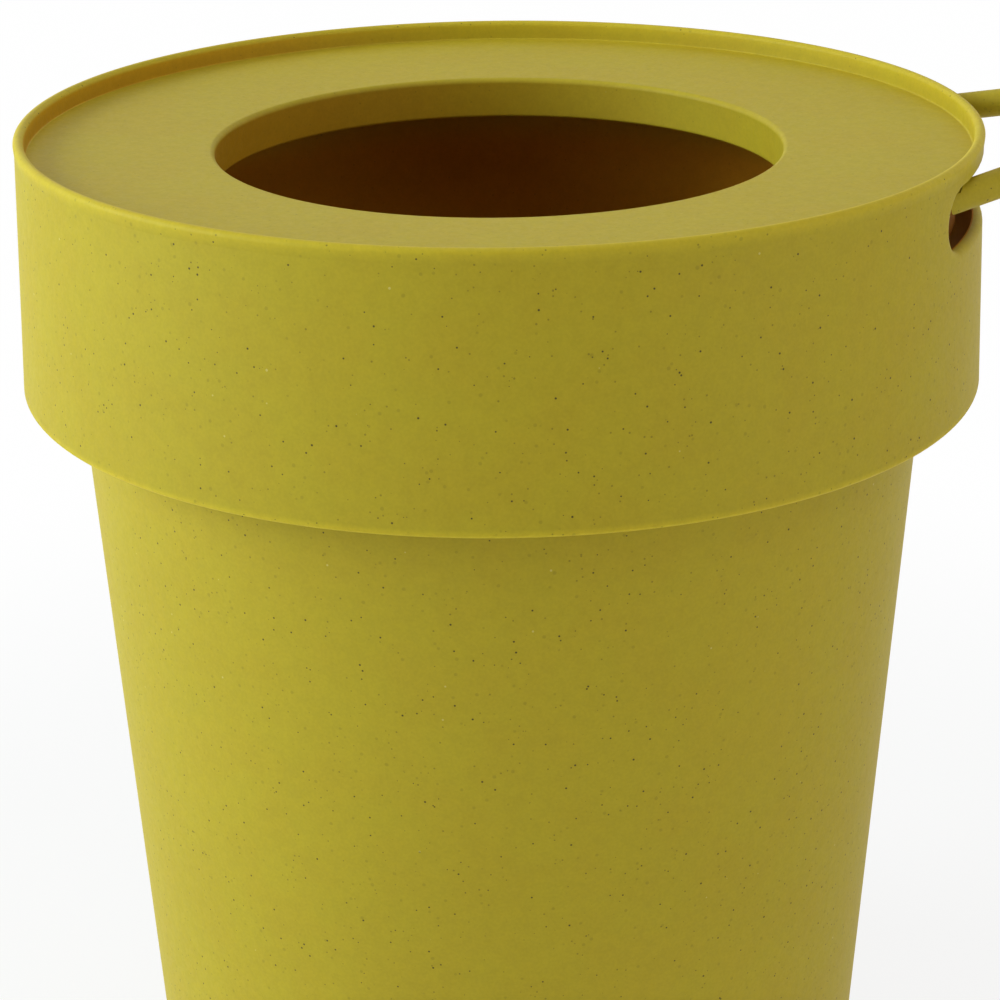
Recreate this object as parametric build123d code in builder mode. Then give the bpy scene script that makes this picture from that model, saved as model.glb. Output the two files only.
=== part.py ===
from build123d import *
from math import cos, radians, sin, tan
import os

# Flower-pot shaped waste bin: tapered bin body, bag ring with a loop handle, and a deep collared lid
# with a round mouth and a slot for the loop. Millimetres, +Z up, origin on the floor at the bin's axis,
# the loop handle points along +X.

# Overall
total_height = 270.0

# Bin body
body_rim_radius = 106.7
body_base_radius = 91.0
body_wall = 2.4
floor_thickness = 2.4
foot_height = 2.6
foot_width = 4.0
base_edge_round = 2.2
inner_floor_round = 7.0
body_rim_chamfer = 0.6

# Bag ring, an angle ring that caps the body's rim
ring_clearance = 0.4
ring_wall = 2.1
ring_flange_thickness = 2.0
ring_flange_overhang = 4.0
ring_skirt_depth = 14.0
ring_edge_chamfer = 0.6

# Loop handle, a round rod moulded with the bag ring
rod_radius = 3.4
handle_slope = 11.9
leg_azimuth = 21.1
leg_convergence = 23.1
loop_tip_radius = 26.0
handle_clearance = 0.35

# Lid
collar_play = 3.3
collar_wall = 2.3
collar_flare = 2.2
collar_depth = 61.5
collar_bottom_wall = 2.4
collar_bottom_round = 0.9
rim_bulge = 0.2
rim_neck_depth = 3.4
recess_depth = 6.3
recess_round = 1.0
plate_thickness = 2.0
mouth_radius = 68.0
lip_draft = 0.9
lip_depth = 10.5
lip_wall = 2.2
mouth_edge_round = 1.3
lip_edge_round = 0.8
lip_edge_chamfer = 0.6

# Slot in the collar for the loop handle
slot_length = 113.6
slot_height = 13.9
slot_edge_round = 1.8

# Radii from the body's rim outwards
body_inner_rim_radius = body_rim_radius - body_wall
ring_inner_radius = body_rim_radius + ring_clearance
ring_outer_radius = ring_inner_radius + ring_wall
collar_inner_radius = ring_outer_radius + collar_play
collar_top_radius = collar_inner_radius + collar_wall
rim_radius = collar_top_radius + rim_bulge
rim_round = (rim_radius - collar_inner_radius) / 2
collar_bottom_radius = collar_top_radius + collar_flare
slot_edge_radius = collar_top_radius - slot_edge_round

# Heights from the rim of the lid downwards: the lid's plate lies on the ring, the ring on the body
plate_top = total_height - recess_depth
plate_bottom = plate_top - plate_thickness
body_height = plate_bottom - ring_flange_thickness
lip_bottom = plate_top - lip_depth
collar_bottom = total_height - collar_depth
ring_bottom = plate_bottom - ring_skirt_depth
slot_centre_height = plate_top - slot_height / 2

# How near an edge must lie to count as the one looked for
size_match = 0.01
slot_rim_match = 0.1


def circle_edge(part, radius, height):
    """The circular edge of a turned piece at this radius and height."""
    found = [
        edge
        for edge in part.edges().filter_by(GeomType.CIRCLE)
        if abs(edge.radius - radius) < size_match and abs(edge.arc_center.Z - height) < size_match
    ]
    return ShapeList(found)


def on_slot_rim(edge):
    """Whether an edge of the lid lies round the slot, on the collar's outer face."""
    middle = edge @ 0.5
    near_height = abs(middle.Z - slot_centre_height) < slot_height / 2 + slot_rim_match
    near_width = middle.X > 0 and abs(middle.Y) < slot_length / 2 + slot_rim_match
    outside = Vector(middle.X, middle.Y, 0).length > collar_top_radius - slot_rim_match
    return near_height and near_width and outside


# Bin body: a turned cup that stands on a foot ring under a raised floor
floor_bottom = foot_height
floor_top = foot_height + floor_thickness
body_slope = (body_rim_radius - body_base_radius) / body_height
inner_floor_radius = body_base_radius + body_slope * floor_top - body_wall
foot_inner_radius = body_base_radius - base_edge_round - foot_width

with BuildPart() as bin_body:
    with BuildSketch(Plane.XZ):
        with BuildLine():
            Polyline(
                (0, floor_bottom),
                (foot_inner_radius, floor_bottom),
                (foot_inner_radius, 0),
                (body_base_radius, 0),
                (body_rim_radius, body_height),
                (body_inner_rim_radius, body_height),
                (inner_floor_radius, floor_top),
                (0, floor_top),
                close=True,
            )
        make_face()
    revolve(axis=Axis.Z)
    fillet(circle_edge(bin_body.part, body_base_radius, 0), base_edge_round)
    fillet(circle_edge(bin_body.part, inner_floor_radius, floor_top), inner_floor_round)
    chamfer(circle_edge(bin_body.part, body_inner_rim_radius, body_height), body_rim_chamfer)
bin_body.part.label = "bin_body"

# Bag ring with loop handle. The loop lies in a plane that rises outwards, and its legs pass through
# the slot just under its upper edge, nearest to it where that edge starts to round off.
leg_x = slot_edge_radius * cos(radians(leg_azimuth))
leg_y = slot_edge_radius * sin(radians(leg_azimuth))
leg_top = plate_top - handle_clearance
leg_z = leg_top - rod_radius / cos(radians(handle_slope))
handle_plane = Plane(
    origin=(leg_x, 0, leg_z),
    x_dir=(cos(radians(handle_slope)), 0, sin(radians(handle_slope))),
    z_dir=(-sin(radians(handle_slope)), 0, cos(radians(handle_slope))),
)
convergence = radians(leg_convergence)
tip_half_width = loop_tip_radius * cos(convergence)
tip_start = (leg_y - tip_half_width) / tan(convergence)
tip_end = tip_start + loop_tip_radius * (1 - sin(convergence))
root_length = 2 * (slot_edge_radius - ring_inner_radius)
root_half_width = leg_y + root_length * tan(convergence)
leg_flat_height = plate_bottom - handle_clearance
leg_flat_radius = collar_inner_radius + handle_clearance

with BuildPart() as bag_ring:
    with BuildLine(handle_plane) as loop_path:
        Line((-root_length, -root_half_width), (tip_start, -tip_half_width))
        ThreePointArc((tip_start, -tip_half_width), (tip_end, 0), (tip_start, tip_half_width))
        Line((tip_start, tip_half_width), (-root_length, root_half_width))
    with BuildSketch(Plane(origin=loop_path.line @ 0, z_dir=loop_path.line % 0)):
        Circle(rod_radius)
    sweep(path=loop_path.line)
    # each leg is flat on top where the lid's plate lies over it
    with BuildSketch(Plane.XY.offset(leg_flat_height)):
        Circle(leg_flat_radius)
    extrude(amount=total_height - leg_flat_height, mode=Mode.SUBTRACT)
    # the legs end inside the ring's skirt
    with BuildSketch(Plane.XY.offset(ring_bottom)):
        Circle(ring_inner_radius + ring_wall / 2)
    extrude(amount=ring_skirt_depth, mode=Mode.SUBTRACT)
    with BuildSketch(Plane.XZ):
        with BuildLine():
            Polyline(
                (body_inner_rim_radius - ring_flange_overhang, body_height),
                (ring_inner_radius, body_height),
                (ring_inner_radius, ring_bottom),
                (ring_outer_radius, ring_bottom),
                (ring_outer_radius, plate_bottom),
                (body_inner_rim_radius - ring_flange_overhang, plate_bottom),
                close=True,
            )
        make_face()
    revolve(axis=Axis.Z)
    chamfer(circle_edge(bag_ring.part, ring_inner_radius, ring_bottom), ring_edge_chamfer)
    chamfer(circle_edge(bag_ring.part, ring_outer_radius, ring_bottom), ring_edge_chamfer)
bag_ring.part.label = "bag_ring"

# Slot cutter: an obround drawn square to the loop's axis, kept outside the collar's inner wall so
# that the plate stays whole behind it
with BuildPart() as slot_cutter:
    with BuildSketch(Plane.YZ):
        with Locations((0, slot_centre_height)):
            SlotOverall(slot_length, slot_height)
    extrude(amount=collar_bottom_radius)
    with BuildSketch(Plane.XY.offset(collar_bottom)):
        Circle(collar_inner_radius)
    extrude(amount=collar_depth, mode=Mode.SUBTRACT)

# Lid: collar with a full-round rim, recessed plate and a mouth with a turned-down lip. Its profile is
# drawn on the side away from the loop, so that the seam of the turning stays clear of the slot.
away_from_loop = Plane(origin=(0, 0, 0), x_dir=(-1, 0, 0), z_dir=(0, 1, 0))

with BuildPart() as lid:
    with BuildSketch(away_from_loop):
        with BuildLine():
            Polyline(
                (rim_radius, total_height - rim_round),
                (collar_top_radius, total_height - rim_neck_depth),
                (collar_bottom_radius, collar_bottom),
                (collar_bottom_radius - collar_bottom_wall, collar_bottom),
                (collar_inner_radius, plate_bottom),
                (mouth_radius + lip_wall, plate_bottom),
                (mouth_radius + lip_draft + lip_wall, lip_bottom),
                (mouth_radius + lip_draft, lip_bottom),
                (mouth_radius, plate_top),
                (collar_inner_radius, plate_top),
                (collar_inner_radius, total_height - rim_round),
            )
            ThreePointArc(
                (collar_inner_radius, total_height - rim_round),
                (collar_inner_radius + rim_round, total_height),
                (rim_radius, total_height - rim_round),
            )
        make_face()
    revolve(axis=Axis.Z)
    fillet(circle_edge(lid.part, collar_inner_radius, plate_top), recess_round)
    fillet(circle_edge(lid.part, mouth_radius, plate_top), mouth_edge_round)
    fillet(circle_edge(lid.part, mouth_radius + lip_draft, lip_bottom), lip_edge_round)
    chamfer(circle_edge(lid.part, mouth_radius + lip_draft + lip_wall, lip_bottom), lip_edge_chamfer)
    fillet(circle_edge(lid.part, collar_bottom_radius, collar_bottom), collar_bottom_round)
    add(slot_cutter.part, mode=Mode.SUBTRACT)
    slot_rim = lid.edges().filter_by(on_slot_rim)
    fillet(slot_rim, slot_edge_round)
lid.part.label = "lid"

os.makedirs("parts", exist_ok=True)
for piece in (bin_body, bag_ring, lid):
    export_step(piece.part, f"parts/{piece.part.label}.step")
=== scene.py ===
from math import cos, pi, radians, sin, tan

import bpy
from mathutils import Matrix, Vector


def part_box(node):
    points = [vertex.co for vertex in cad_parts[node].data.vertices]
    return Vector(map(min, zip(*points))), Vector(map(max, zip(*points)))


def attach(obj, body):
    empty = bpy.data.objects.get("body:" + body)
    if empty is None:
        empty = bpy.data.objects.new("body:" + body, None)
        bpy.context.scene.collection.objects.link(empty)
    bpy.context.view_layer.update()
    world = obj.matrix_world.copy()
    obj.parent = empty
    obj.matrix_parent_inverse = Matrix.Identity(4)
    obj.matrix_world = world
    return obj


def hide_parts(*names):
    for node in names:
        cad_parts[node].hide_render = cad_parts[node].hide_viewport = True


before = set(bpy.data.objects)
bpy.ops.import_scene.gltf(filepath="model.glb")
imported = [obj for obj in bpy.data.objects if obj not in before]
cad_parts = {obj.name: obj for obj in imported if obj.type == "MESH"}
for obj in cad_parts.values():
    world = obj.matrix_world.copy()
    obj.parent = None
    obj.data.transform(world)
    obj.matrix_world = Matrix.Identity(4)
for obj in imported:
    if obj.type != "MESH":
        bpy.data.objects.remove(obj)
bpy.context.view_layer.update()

# Flower-pot shaped waste bin in matte mustard plastic with fine specks. Metres, in the CAD model's
# frame: +Z up, the loop handle points along +X.

# Camera, fitted to the photograph's outlines. It stands in front of the middle of the lid's rim and
# aims lower than it.
camera_distance = 0.62095
camera_elevation = 13.269
camera_yaw = 0.063
camera_pitch = -8.557
camera_roll = 0.638
focal_length_pixels = 2560.9
image_width_pixels = 1000
sensor_width_mm = 36

# Floor, whiter away from the bin so that the shadow stays round it. Between the near and the far radius
# the share of plain white grows.
floor_radius = 6.0
floor_points = 96
floor_colour = (0.95, 0.95, 0.95, 1)
near_radius = 0.20
far_radius = 0.50
near_white_share = 0.86
far_white_share = 0.995

# Lamps round the bin: azimuth from the front, positive to the right, and elevation in degrees, power
# in watts, colour
lamp_distance = 1.8
lamp_size = 1.0
lamp_target = Vector((0, 0, 0.20))
world_fill = 0.04
cool = (0.93, 1.07, 1.04)
warm = (1.00, 0.995, 0.92)
white = (1.00, 1.00, 1.00)
lamps = {
    "left": (-90, 22, 18.8, cool),
    "low_left": (-75, 8, 3.4, cool),
    "front_left": (-60, 22, 4.8, cool),
    "front": (-20, 8, 1.9, white),
    "high_front": (30, 45, 1.8, warm),
    "high_right": (60, 45, 1.8, warm),
    "low_right": (60, 8, 6.0, warm),
    "back_left": (-150, 22, 2.0, white),
    "back_right": (120, 22, 2.0, white),
    "high_back": (180, 45, 1.5, white),
    "top": (0, 90, 6.2, white),
}

# Speckled plastic, colours in linear light. Deep in the bin, behind the collar and on the ring's skirt it
# is browner: painted shade.
plastic_colour = (0.508, 0.393, 0.0158, 1)
warm_plastic_colour = (0.508, 0.380, 0.0155, 1)
painted_deep_shade_colour = (0.540, 0.222, 0.009, 1)
painted_skirt_shade_colour = (0.240, 0.085, 0.005, 1)
dark_speck_colour = (0.030, 0.022, 0.006, 1)
olive_speck_colour = (0.16, 0.13, 0.010, 1)
pale_speck_colour = (0.78, 0.72, 0.30, 1)
plastic_roughness = 0.60
plastic_gloss = 0.28
# The painted shade is also less glossy.
painted_shade_gloss = 0.06

# Specks: colour, strength, spacing of their places, radius of the largest, and the share of places that
# hold one. On flat tops and on inner sides they are fainter. A slant is the upward share of a face's
# normal: up to the first a face counts as a side, and from the second on as flat.
speck_kinds = {
    "olive": (olive_speck_colour, 0.24, 0.0021, 0.00055, 0.5),
    "pale": (pale_speck_colour, 0.45, 0.0056, 0.00036, 0.5),
    "faint": (dark_speck_colour, 0.45, 0.0015, 0.00028, 0.4),
    "dark": (dark_speck_colour, 0.90, 0.0018, 0.00031, 0.6),
}
speck_core_share = 0.6
least_speck_share = 0.001
flat_speck_share = 0.35
inner_speck_share = 0.25
side_slant = 0.3
flat_slant = 0.9

# Unevenness of the plastic: the scale of each pattern, and how far it goes to either side
cloud_scale = 14
cloud_depth = 0.015
blotch_scale = 330
blotch_depth = 0.025
grain_scale = 1300
grain_depth = 0.03
warmth_scale = 70
roughness_scale = 700
roughness_depth = 0.04
bump_scale = 2200
bump_strength = 0.12
bump_distance = 0.0002

# Sizes that the frame gives
body_rim_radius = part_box("bin_body")[1].x
body_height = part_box("bin_body")[1].z
lid_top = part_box("lid")[1].z
collar_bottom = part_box("lid")[0].z

# Bin body
body_base_radius = 0.0910
body_wall = 0.0024
floor_top = 0.0050
floor_bottom = 0.0026
foot_inner_radius = 0.0848
base_edge_round = 0.0022
inner_floor_round = 0.0070
body_rim_chamfer = 0.0006

# Lid. The bag ring fills part of the gap between the body's rim and the collar.
collar_gap = 0.0058
collar_inner_radius = body_rim_radius + collar_gap
collar_wall = 0.0023
collar_flare = 0.0022
collar_bottom_wall = 0.0024
collar_bottom_round = 0.0009
rim_bulge = 0.0002
rim_neck_depth = 0.0034
recess_depth = 0.0063
recess_round = 0.0010
plate_thickness = 0.0020
mouth_radius = 0.0680
mouth_edge_round = 0.0013
lip_draft = 0.0009
lip_depth = 0.0105
lip_wall = 0.0022
lip_edge_round = 0.0008
lip_edge_chamfer = 0.0006
plate_top = lid_top - recess_depth
plate_bottom = plate_top - plate_thickness

# The recess as the photograph shows it: a smaller round than the CAD model's at its edge, and a plate
# that falls slightly towards the mouth
seen_recess_round = 0.0004
seen_plate_fall = 0.0014

# Where the plastic turns browner with painted shade. It is full at the first height of a pair and gone at
# the second. Behind the collar it starts at a least radius, and the slack takes in the wall's own inner
# face.
bin_painted_shade_heights = (0.236, 0.252)
collar_painted_shade_heights = (0.258, 0.2615)
lip_painted_shade_heights = (plate_top - 0.0018, plate_top - 0.0002)
rim_painted_shade_heights = (lid_top - 0.0016, lid_top - 0.0004)
recess_painted_shade_heights = (plate_top + seen_plate_fall + 0.0002, plate_top + seen_plate_fall)
collar_painted_shade_least_radius = 0.075
ring_painted_shade_radius = 0.1115
wall_slack = 0.0004

# On the left of the mouth's lip and of the rim's inside, painted shade away from the left lamps: how much
# browner they turn there, and the places across the bin between which that fades
lip_painted_shade = 0.70
lip_painted_shade_reach = (-1.4 * mouth_radius, 1.2 * mouth_radius)
rim_painted_shade = 0.58
rim_painted_shade_reach = (-0.85 * collar_inner_radius, 0)

# Painted light on the lid's rim and on the collar's lower edge: heights over which they brighten, and by
# how much
rim_painted_light_depth = 0.0036
rim_painted_light = 1.24
edge_painted_light_height = 0.0022
edge_painted_light = 1.36

# Turned surfaces: steps in a full turn and in a round, how near a point lies to count as on a side, and
# how far the middle of a coarse CAD face may lie off the side that it stands for
turned_steps = 240
round_steps = 12
on_side = 0.00002
near_side = 0.0007


class NodeTree:
    """Adds shader nodes and links to a material or world in short calls."""

    def __init__(self, owner):
        owner.use_nodes = True
        self.tree = owner.node_tree
        self.tree.nodes.clear()

    def node(self, kind, **settings):
        made = self.tree.nodes.new("ShaderNode" + kind)
        for name, value in settings.items():
            setattr(made, name, value)
        return made

    def link(self, source, target):
        self.tree.links.new(source, target)

    def put(self, value, target):
        """Sets an input to a number, or links it to another node's output."""
        if isinstance(value, bpy.types.NodeSocket):
            self.link(value, target)
        else:
            target.default_value = value

    def math(self, operation, first, second=0.0):
        made = self.node("Math", operation=operation)
        self.put(first, made.inputs[0])
        self.put(second, made.inputs[1])
        return made.outputs[0]

    def length(self, vector):
        made = self.node("VectorMath", operation="LENGTH")
        self.link(vector, made.inputs[0])
        return made.outputs["Value"]

    def axes(self, vector):
        """The X, Y and Z of a vector."""
        made = self.node("SeparateXYZ")
        self.link(vector, made.inputs[0])
        return made.outputs

    def ramp(self, value, low, high, low_out=0.0, high_out=1.0):
        """Smoothly maps a value from low..high to low_out..high_out."""
        made = self.node("MapRange", interpolation_type="SMOOTHSTEP")
        self.put(value, made.inputs["Value"])
        self.put(low, made.inputs["From Min"])
        self.put(high, made.inputs["From Max"])
        self.put(low_out, made.inputs["To Min"])
        self.put(high_out, made.inputs["To Max"])
        return made.outputs["Result"]

    def mix(self, share, first, second):
        made = self.node("Mix", data_type="RGBA")
        self.put(share, made.inputs["Factor"])
        self.put(first, made.inputs["A"])
        self.put(second, made.inputs["B"])
        return made.outputs["Result"]

    def scaled(self, colour, share):
        """A colour made lighter or darker by a share."""
        grey = self.node("CombineColor")
        for channel in range(3):
            self.link(share, grey.inputs[channel])
        made = self.node("Mix", data_type="RGBA", blend_type="MULTIPLY")
        made.inputs["Factor"].default_value = 1
        self.put(colour, made.inputs["A"])
        self.link(grey.outputs[0], made.inputs["B"])
        return made.outputs["Result"]

    def noise(self, place, scale, detail=2.0, roughness=0.5):
        made = self.node("TexNoise")
        self.link(place, made.inputs["Vector"])
        made.inputs["Scale"].default_value = scale
        made.inputs["Detail"].default_value = detail
        made.inputs["Roughness"].default_value = roughness
        return made.outputs["Fac"]

    def specks(self, place, spacing, largest, share):
        """A mask of round specks: the spacing of their places, the radius of the largest, and the share of
        places that hold one."""
        cells = self.node("TexVoronoi")
        self.link(place, cells.inputs["Vector"])
        cells.inputs["Scale"].default_value = 1 / spacing
        chance = self.node("TexWhiteNoise")
        self.link(cells.outputs["Color"], chance.inputs["Vector"])
        size = self.ramp(chance.outputs["Value"], 1 - share, 1, 0, largest / spacing)
        core = self.math("MULTIPLY", size, speck_core_share)
        near = self.ramp(cells.outputs["Distance"], core, size, 1, 0)
        there = self.math("GREATER_THAN", size, least_speck_share)
        return self.math("MULTIPLY", near, there)

    def finish(self, shader):
        output = self.node("OutputMaterial")
        self.link(shader.outputs[0], output.inputs["Surface"])


def grown_shade(tree, place):
    """How light the plastic is from place to place: wide clouds, soft blotches and a fine grain."""
    clouds = tree.noise(place, cloud_scale, 3, 0.55)
    clouds = tree.ramp(clouds, 0.3, 0.7, 1 - cloud_depth, 1 + cloud_depth)
    blotches = tree.noise(place, blotch_scale, 2, 0.5)
    blotches = tree.ramp(blotches, 0.3, 0.7, -blotch_depth, blotch_depth)
    grain = tree.noise(place, grain_scale, 1, 0.5)
    grain = tree.ramp(grain, 0.25, 0.75, -grain_depth, grain_depth)
    return tree.math("ADD", clouds, tree.math("ADD", blotches, grain))


def inner_side(tree, place, low_radius, high_radius):
    """One within a cone, whose radii are given on the floor and at the height of the bin's rim."""
    axes = tree.axes(place)
    flat = tree.node("CombineXYZ")
    tree.link(axes["X"], flat.inputs["X"])
    tree.link(axes["Y"], flat.inputs["Y"])
    slope = (high_radius - low_radius) / body_height
    limit = tree.math("ADD", tree.math("MULTIPLY", axes["Z"], slope), low_radius)
    return tree.math("LESS_THAN", tree.length(flat.outputs[0]), limit)


def height_ramp(tree, place, full, gone):
    """One at the height where it is full and beyond, zero at the one where it is gone."""
    return tree.ramp(tree.axes(place)["Z"], full, gone, 1, 0)


def bin_painted_shade(tree, place):
    """The bin's inner side, and how far the bin turns browner with painted shade deep inside."""
    middle = body_wall / 2
    inner = inner_side(tree, place, body_base_radius - middle, body_rim_radius - middle)
    return inner, tree.math("MULTIPLY", inner, height_ramp(tree, place, *bin_painted_shade_heights))


def ring_painted_shade(tree, place):
    """The ring without its loop, and how far it turns browner with painted shade: all of it alike."""
    inner = inner_side(tree, place, ring_painted_shade_radius, ring_painted_shade_radius)
    return inner, inner


def lid_painted_shade(tree, place):
    """The lid without the collar's outside, and how far the lid turns browner with painted shade: the
    collar's inside all round, and on the left the mouth's lip and the rim's inside."""
    wall_lean = collar_wall + collar_flare - collar_bottom_wall
    wall_height = plate_bottom - collar_bottom
    wall_radius = collar_inner_radius + wall_slack
    rim_radius = wall_radius + wall_slack
    lip_radius = mouth_radius + lip_wall / 2
    floor_radius = wall_radius + wall_lean / wall_height * body_height

    hollow = inner_side(tree, place, floor_radius, wall_radius)
    core = inner_side(tree, place, collar_painted_shade_least_radius, collar_painted_shade_least_radius)
    behind = tree.math("SUBTRACT", hollow, core)
    behind = tree.math("MULTIPLY", behind, height_ramp(tree, place, *collar_painted_shade_heights))

    across = tree.axes(place)["X"]
    lip = inner_side(tree, place, lip_radius, lip_radius)
    lip = tree.math("MULTIPLY", lip, tree.ramp(across, *lip_painted_shade_reach, lip_painted_shade, 0))
    lip = tree.math("MULTIPLY", lip, height_ramp(tree, place, *lip_painted_shade_heights))

    rim = tree.math("SUBTRACT", inner_side(tree, place, rim_radius, rim_radius), core)
    rim = tree.math("MULTIPLY", rim, tree.ramp(across, *rim_painted_shade_reach, rim_painted_shade, 0))
    rim = tree.math("MULTIPLY", rim, height_ramp(tree, place, *rim_painted_shade_heights))
    rim = tree.math("MULTIPLY", rim, height_ramp(tree, place, *recess_painted_shade_heights))
    return hollow, tree.math("MAXIMUM", behind, tree.math("MAXIMUM", lip, rim))


def no_painted_light(tree, place):
    """No painted light: the same lightness everywhere."""
    return 1.0


def lid_painted_light(tree, place):
    """Painted light: lighter on the rim and on the collar's lower edge."""
    height = tree.axes(place)["Z"]
    rim = tree.ramp(height, lid_top - rim_painted_light_depth, lid_top, 1, rim_painted_light)
    edge = tree.ramp(height, collar_bottom, collar_bottom + edge_painted_light_height, edge_painted_light, 1)
    return tree.math("MULTIPLY", rim, edge)


def add_specks(tree, place, colour, inner):
    """Specks over a colour, fainter on the flat top and on the inner side."""
    upward = tree.math("ABSOLUTE", tree.axes(tree.node("TexCoord").outputs["Normal"])["Z"])
    seen = tree.ramp(upward, side_slant, flat_slant, 1, flat_speck_share)
    seen = tree.math("MINIMUM", seen, tree.ramp(inner, 0, 1, 1, inner_speck_share))
    for speck_colour, strength, spacing, largest, share in speck_kinds.values():
        mask = tree.math("MULTIPLY", tree.specks(place, spacing, largest, share), strength)
        colour = tree.mix(tree.math("MULTIPLY", mask, seen), colour, speck_colour)
    return colour


def speckled_plastic(name, painted_shade_masks, painted_shade_colour, light):
    """Matte plastic with dark, olive and pale specks, faint clouds, a fine grain, painted shade and
    painted light.
    """
    material = bpy.data.materials.new(name)
    tree = NodeTree(material)
    place = tree.node("TexCoord").outputs["Object"]
    inner, painted_shade = painted_shade_masks(tree, place)
    warmth = tree.ramp(tree.noise(place, warmth_scale, 3, 0.55), 0.3, 0.7)
    # Browner where the painted shade mask says.
    ground = tree.mix(painted_shade, tree.mix(warmth, plastic_colour, warm_plastic_colour), painted_shade_colour)
    # Random tone times the painted light, where a piece has any.
    tone_and_painted_light = tree.math("MULTIPLY", grown_shade(tree, place), light(tree, place))
    colour = add_specks(tree, place, tree.scaled(ground, tone_and_painted_light), inner)

    shader = tree.node("BsdfPrincipled")
    gloss = tree.ramp(painted_shade, 0, 1, plastic_gloss, painted_shade_gloss)
    tree.link(gloss, shader.inputs["Specular IOR Level"])
    tree.link(colour, shader.inputs["Base Color"])
    uneven = tree.noise(place, roughness_scale, 2, 0.6)
    uneven = tree.ramp(uneven, 0.3, 0.7, -roughness_depth, roughness_depth)
    tree.link(tree.math("ADD", uneven, plastic_roughness), shader.inputs["Roughness"])
    bump = tree.node("Bump")
    bump.inputs["Strength"].default_value = bump_strength
    bump.inputs["Distance"].default_value = bump_distance
    tree.link(tree.noise(place, bump_scale, 2, 0.6), bump.inputs["Height"])
    tree.link(bump.outputs["Normal"], shader.inputs["Normal"])
    tree.finish(shader)
    return material


def corner_arc(before, corner, after, size):
    """Points of the round at a corner, and its centre."""
    if size == 0:
        return [corner], corner
    to_before = (before - corner).normalized()
    to_after = (after - corner).normalized()
    half = to_before.angle(to_after) / 2
    centre = corner + (to_before + to_after).normalized() * (size / sin(half))
    first = corner + to_before * (size / tan(half)) - centre
    last = corner + to_after * (size / tan(half)) - centre
    sweep = -first.angle_signed(last)
    turns = [Matrix.Rotation(sweep * step / round_steps, 2) for step in range(round_steps + 1)]
    return [centre + turn @ first for turn in turns], centre


class Side:
    """A short straight piece of an outline, with the normal at each end. Turned sides are made here, and
    the others are cut by the slot and stay the CAD model's faces."""

    def __init__(self, ends, normals, turned):
        self.ends = ends
        self.normals = normals
        self.turned = turned

    def gap(self, point):
        """How far a point of the outline's plane lies from the side."""
        along = self.ends[1] - self.ends[0]
        share = (point - self.ends[0]).dot(along) / along.length_squared
        return (point - self.ends[0] - along * max(0, min(1, share))).length


def outline_sides(corners):
    """The sides of a closed outline, which is listed with the material on its right."""
    places = [Vector(corner[:2]) for corner in corners]
    afters = places[1:] + places[:1]
    arcs = [
        corner_arc(places[index - 1], place, after, corners[index][2])
        for index, (place, after) in enumerate(zip(places, afters))
    ]
    sides = []
    for (points, centre), (next_points, next_centre), corner in zip(arcs, arcs[1:] + arcs[:1], corners):
        for ends in zip(points, points[1:]):
            sides.append(Side(ends, [(end - centre).normalized() for end in ends], True))
        ends = (points[-1], next_points[0])
        along = ends[1] - ends[0]
        if along.length > on_side and max(ends[0].x, ends[1].x) > on_side:
            normal = Vector((-along.y, along.x)).normalized()
            sides.append(Side(ends, [normal, normal], corner[3]))
    for side in sides:
        along = side.ends[1] - side.ends[0]
        if Vector((-along.y, along.x)).dot(side.normals[0]) < 0:
            side.normals = [-normal for normal in side.normals]
    return sides


def turn_side(side, vertices, faces, normals):
    """Adds a side turned about the axis."""
    turns = [2 * pi * (step + 0.5) / turned_steps for step in range(turned_steps)]
    circle = [Vector((cos(turn), sin(turn), 0)) for turn in turns]
    up = Vector((0, 0, 1))
    base = len(vertices)
    for end in side.ends:
        vertices += [tuple(way * end.x + up * end.y) for way in circle]
    for step in range(turned_steps):
        after = (step + 1) % turned_steps
        places = [(0, step), (1, step), (1, after), (0, after)]
        if side.ends[0].x < on_side:
            places.remove((0, after))
        if side.ends[1].x < on_side:
            places.remove((1, after))
        for end, place in places:
            normals.append(tuple(circle[place] * side.normals[end].x + up * side.normals[end].y))
        faces.append([base + end * turned_steps + place for end, place in places])


def turned_surface(sides):
    """Vertices, faces and corner normals of the turned sides."""
    vertices, faces, normals = [], [], []
    for side in sides:
        if side.turned:
            turn_side(side, vertices, faces, normals)
    return vertices, faces, normals


def add_cad_faces(mesh, sides, vertices, faces, normals):
    """Adds a node's faces that no turned side covers, with exact normals where they lie on the outline."""
    turned = [side for side in sides if side.turned]
    others = [side for side in sides if not side.turned]
    outline = [Vector((vertex.co.xy.length, vertex.co.z)) for vertex in mesh.vertices]
    on_turned = [min(side.gap(point) for side in turned) < on_side for point in outline]
    on_other = [{side for side in others if side.gap(point) < on_side} for point in outline]
    base = len(vertices)
    vertices += [tuple(vertex.co) for vertex in mesh.vertices]
    for polygon in mesh.polygons:
        indexes = list(polygon.vertices)
        shared = set.intersection(*[on_other[index] for index in indexes])
        if not shared and all(on_turned[index] for index in indexes):
            middle = sum((outline[index] for index in indexes), Vector((0, 0))) / len(indexes)
            if min(side.gap(middle) for side in turned) < near_side:
                continue
        faces.append([index + base for index in indexes])
        for loop, index in zip(polygon.loop_indices, indexes):
            normal = mesh.corner_normals[loop].vector
            if shared:
                slant = next(iter(shared)).normals[0]
                way = mesh.vertices[index].co.xy.normalized()
                normal = Vector((way.x * slant.x, way.y * slant.x, slant.y))
            normals.append(tuple(normal))


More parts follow.
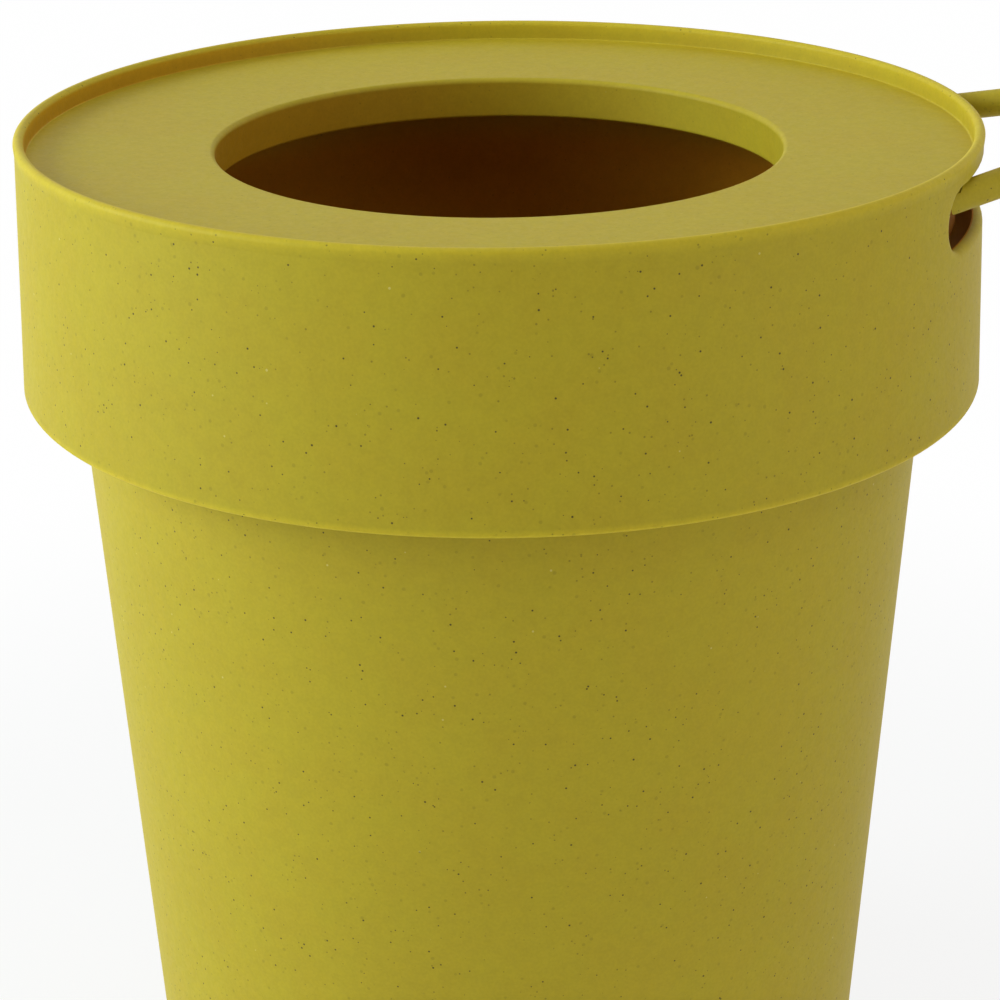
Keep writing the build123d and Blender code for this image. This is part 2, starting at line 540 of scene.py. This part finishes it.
def smooth_piece(node_name, body, material, corners, seen_corners):
    """Puts a piece with regular turned faces in the place of a node and its coarser faces. The corners
    give the node's outline, and the seen corners that of the turned faces."""
    sides = outline_sides(corners)
    surface = turned_surface(outline_sides(seen_corners))
    if not all(side.turned for side in sides):
        add_cad_faces(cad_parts[node_name].data, sides, *surface)
    vertices, faces, normals = surface
    mesh = bpy.data.meshes.new(node_name + "_smooth")
    mesh.from_pydata(vertices, [], faces)
    mesh.polygons.foreach_set("use_smooth", [True] * len(mesh.polygons))
    mesh.normals_split_custom_set(normals)
    mesh.materials.append(material)
    piece = bpy.data.objects.new(node_name + "_smooth", mesh)
    bpy.context.scene.collection.objects.link(piece)
    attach(piece, body)
    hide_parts(node_name)


def lid_corners(inner_round, plate_fall):
    """The lid's outline from the rim's outer edge clockwise: radius, height, round, and whether the side
    to the next corner is turned."""
    rim_radius = collar_inner_radius + collar_wall + rim_bulge
    rim_round = (rim_radius - collar_inner_radius) / 2
    collar_top_radius = collar_inner_radius + collar_wall
    collar_bottom_radius = collar_top_radius + collar_flare
    lip_bottom = plate_top - lip_depth
    lip_radius = mouth_radius + lip_draft
    chamfer_slant = lip_draft / (plate_bottom - lip_bottom) * lip_edge_chamfer
    return [
        (rim_radius, lid_top, rim_round, True),
        (rim_radius, lid_top - rim_round, 0, True),
        (collar_top_radius, lid_top - rim_neck_depth, 0, False),
        (collar_bottom_radius, collar_bottom, collar_bottom_round, True),
        (collar_bottom_radius - collar_bottom_wall, collar_bottom, 0, False),
        (collar_inner_radius, plate_bottom, 0, True),
        (mouth_radius + lip_wall, plate_bottom, 0, True),
        (lip_radius + lip_wall - chamfer_slant, lip_bottom + lip_edge_chamfer, 0, True),
        (lip_radius + lip_wall - lip_edge_chamfer, lip_bottom, 0, True),
        (lip_radius, lip_bottom, lip_edge_round, True),
        (mouth_radius, plate_top, mouth_edge_round, True),
        (collar_inner_radius, plate_top + plate_fall, inner_round, True),
        (collar_inner_radius, lid_top, rim_round, True),
    ]


def bin_corners():
    """The bin's outline from the rim's outer edge clockwise, all of it turned."""
    slope = (body_rim_radius - body_base_radius) / body_height
    inner_rim_radius = body_rim_radius - body_wall
    inner_floor_radius = body_base_radius + slope * floor_top - body_wall
    inner_slope = (inner_rim_radius - inner_floor_radius) / (body_height - floor_top)
    return [
        (body_rim_radius, body_height, 0, True),
        (body_base_radius, 0, base_edge_round, True),
        (foot_inner_radius, 0, 0, True),
        (foot_inner_radius, floor_bottom, 0, True),
        (0, floor_bottom, 0, True),
        (0, floor_top, 0, True),
        (inner_floor_radius, floor_top, inner_floor_round, True),
        (inner_rim_radius - inner_slope * body_rim_chamfer, body_height - body_rim_chamfer, 0, True),
        (inner_rim_radius + body_rim_chamfer, body_height, 0, True),
    ]


def finish_pieces():
    """The plastic on every node. The turned pieces get finer faces."""
    ring_plastic = speckled_plastic("speckled_plastic_ring", ring_painted_shade, painted_skirt_shade_colour, no_painted_light)
    lid_plastic = speckled_plastic("speckled_plastic_lid", lid_painted_shade, painted_deep_shade_colour, lid_painted_light)
    bin_plastic = speckled_plastic("speckled_plastic_bin", bin_painted_shade, painted_deep_shade_colour, no_painted_light)
    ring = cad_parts["bag_ring"]
    ring.data.materials.clear()
    ring.data.materials.append(ring_plastic)
    cad_corners = lid_corners(recess_round, 0)
    seen_corners = lid_corners(seen_recess_round, seen_plate_fall)
    smooth_piece("lid", "cover", lid_plastic, cad_corners, seen_corners)
    smooth_piece("bin_body", "bin", bin_plastic, bin_corners(), bin_corners())


def seen_directly(tree):
    """One for rays from the camera and in gloss or glass, else zero."""
    path = tree.node("LightPath")
    seen = tree.math("MAXIMUM", path.outputs["Is Camera Ray"], path.outputs["Is Glossy Ray"])
    return tree.math("MAXIMUM", seen, path.outputs["Is Transmission Ray"])


def floor_material():
    """A pale floor that the camera sees as nearly white, with the object's shadow on it."""
    material = bpy.data.materials.new("floor")
    tree = NodeTree(material)
    matte = tree.node("BsdfDiffuse")
    matte.inputs["Color"].default_value = floor_colour
    glow = tree.node("Emission")
    glow.inputs["Strength"].default_value = 1
    distance = tree.length(tree.node("TexCoord").outputs["Object"])
    white_share = tree.ramp(distance, near_radius, far_radius, near_white_share, far_white_share)
    mix = tree.node("MixShader")
    tree.link(tree.math("MULTIPLY", seen_directly(tree), white_share), mix.inputs[0])
    tree.link(matte.outputs[0], mix.inputs[1])
    tree.link(glow.outputs[0], mix.inputs[2])
    tree.finish(mix)
    return material


def make_floor():
    bpy.ops.mesh.primitive_circle_add(vertices=floor_points, radius=floor_radius, fill_type="NGON")
    floor = bpy.context.object
    floor.name = "floor"
    floor.data.materials.append(floor_material())


def make_world():
    """White to the camera and in gloss, and a soft even fill otherwise."""
    world = bpy.data.worlds.new("studio")
    bpy.context.scene.world = world
    tree = NodeTree(world)
    seen = seen_directly(tree)
    background = tree.node("Background")
    background.inputs["Color"].default_value = (1, 1, 1, 1)
    tree.link(tree.ramp(seen, 0, 1, world_fill, 1), background.inputs["Strength"])
    output = tree.node("OutputWorld")
    tree.link(background.outputs[0], output.inputs["Surface"])


def make_lamps():
    """Large soft lamps round the bin, each aimed at it."""
    for name, (azimuth, elevation, power, colour) in lamps.items():
        data = bpy.data.lights.new(name, "AREA")
        data.shape = "DISK"
        data.size = lamp_size
        data.energy = power
        data.color = colour
        light = bpy.data.objects.new(name, data)
        bpy.context.scene.collection.objects.link(light)
        level = lamp_distance * cos(radians(elevation))
        height = lamp_distance * sin(radians(elevation))
        away = Vector((sin(radians(azimuth)) * level, -cos(radians(azimuth)) * level, height))
        light.location = lamp_target + away
        light.rotation_euler = away.to_track_quat("Z", "Y").to_euler()


def make_camera():
    """Stands off the middle of the lid's rim, then turns from it by yaw, pitch and roll."""
    data = bpy.data.cameras.new("camera")
    data.sensor_width = sensor_width_mm
    data.lens = focal_length_pixels / image_width_pixels * sensor_width_mm
    camera = bpy.data.objects.new("camera", data)
    bpy.context.scene.collection.objects.link(camera)
    look_down = Matrix.Rotation(radians(90 - camera_elevation), 4, "X")
    place = Vector((0, 0, lid_top)) + look_down @ Vector((0, 0, camera_distance))
    turn = look_down @ Matrix.Rotation(radians(camera_yaw), 4, "Y")
    turn = turn @ Matrix.Rotation(radians(camera_pitch), 4, "X")
    turn = turn @ Matrix.Rotation(radians(-camera_roll), 4, "Z")
    camera.matrix_world = Matrix.Translation(place) @ turn
    bpy.context.scene.camera = camera


make_camera()
make_floor()
make_world()
make_lamps()
finish_pieces()

bpy.context.scene.view_settings.view_transform = "Standard"
